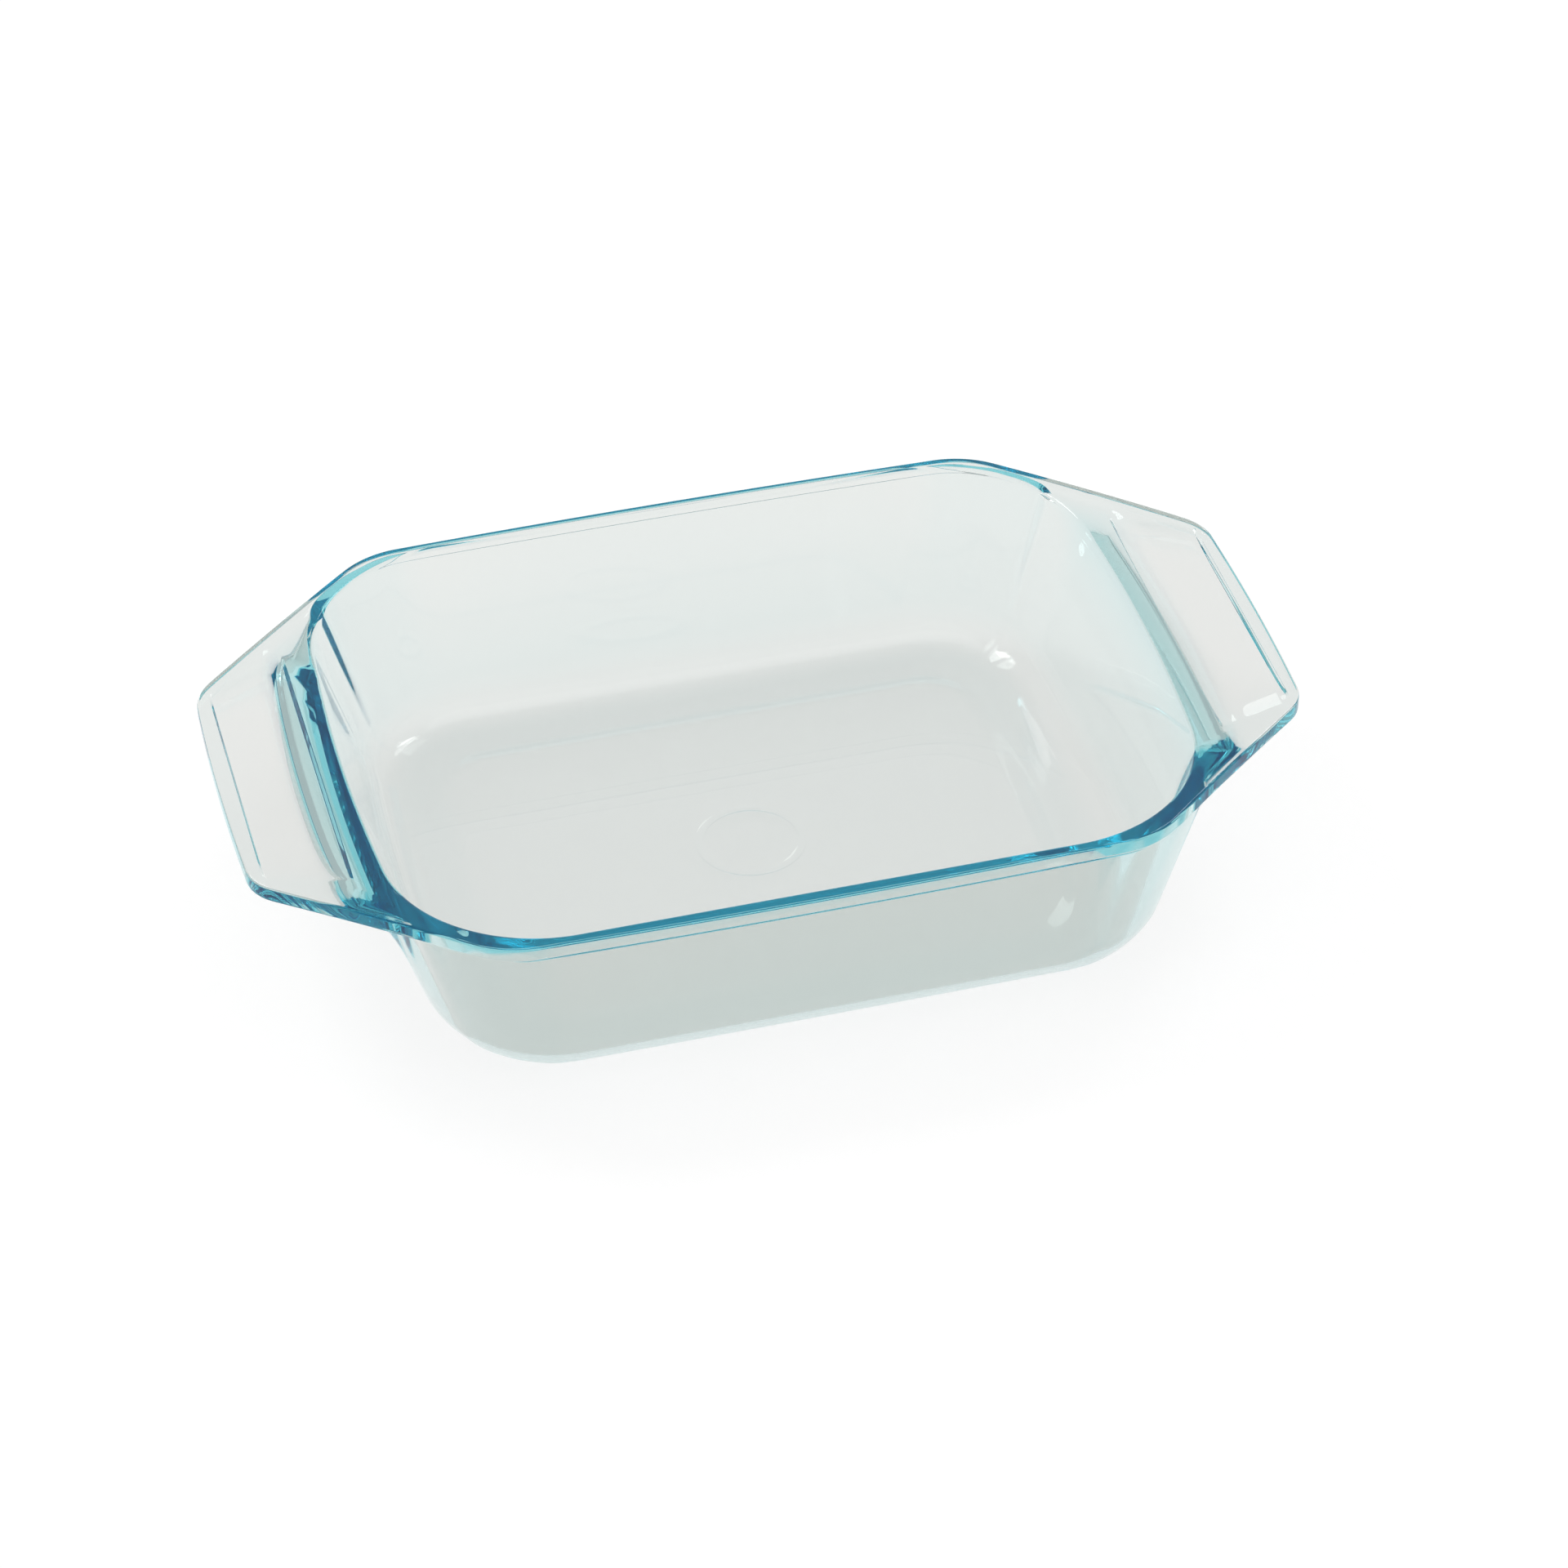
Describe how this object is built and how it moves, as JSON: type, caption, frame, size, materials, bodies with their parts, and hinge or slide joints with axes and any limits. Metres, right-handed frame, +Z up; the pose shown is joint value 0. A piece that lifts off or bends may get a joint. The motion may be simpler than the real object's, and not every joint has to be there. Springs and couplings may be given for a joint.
{
  "type": "glass baking dish",
  "caption": "Rectangular pressed-glass loaf and roasting dish: open tapered basin with rounded corners, rolled rim and a wing handle with a sunk grip panel at each end.",
  "frame": {"origin": "centre of the dish on the plane it rests on", "axes": "+X runs from handle to handle, +Y across the dish towards one long wall, +Z up out of the basin"},
  "size_m": [0.31, 0.196, 0.0585],
  "materials": {
    "clear_glass": "smooth fire-polished clear borosilicate glass with a faint blue-green tint in long sections"
  },
  "bodies": {
    "root": {"glass_dish": "clear_glass"}
  },
  "joints": []
}
